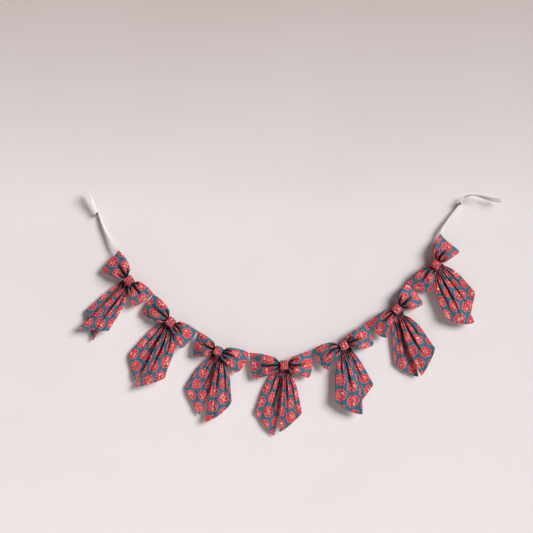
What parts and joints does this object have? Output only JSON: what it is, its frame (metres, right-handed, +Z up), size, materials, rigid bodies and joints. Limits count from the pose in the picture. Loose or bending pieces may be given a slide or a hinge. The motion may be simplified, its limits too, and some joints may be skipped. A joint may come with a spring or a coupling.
{
  "type": "fabric bow garland with two nails",
  "caption": "Hanging garland of printed cotton bows with long pleated tails, sewn corner to corner and hung by tapes from two wall nails.",
  "frame": {"origin": "centre of the left nail's end where it meets the wall, in the wall's plane y = 0", "axes": "+X to the viewer's right along the wall, +Z up, the garland faces -Y, away from the wall"},
  "size_m": [0.9246, 0.029, 0.5385],
  "materials": {
    "printed_cotton": "matt plain-weave cotton, teal with a red flower print",
    "cotton_tape": "matt undyed cotton tape",
    "nail_steel": "dark steel"
  },
  "bodies": {
    "root": {"bow_1_loops": "printed_cotton", "bow_1_knot": "printed_cotton", "bow_1_tails": "printed_cotton", "bow_2_loops": "printed_cotton", "bow_2_knot": "printed_cotton", "bow_2_tails": "printed_cotton", "bow_3_loops": "printed_cotton", "bow_3_knot": "printed_cotton", "bow_3_tails": "printed_cotton", "bow_4_loops": "printed_cotton", "bow_4_knot": "printed_cotton", "bow_4_tails": "printed_cotton", "bow_5_loops": "printed_cotton", "bow_5_knot": "printed_cotton", "bow_5_tails": "printed_cotton", "bow_6_loops": "printed_cotton", "bow_6_knot": "printed_cotton", "bow_6_tails": "printed_cotton", "bow_7_loops": "printed_cotton", "bow_7_knot": "printed_cotton", "bow_7_tails": "printed_cotton", "tape_left": "cotton_tape", "tape_right": "cotton_tape", "nail_left": "nail_steel", "nail_right": "nail_steel"}
  },
  "joints": []
}
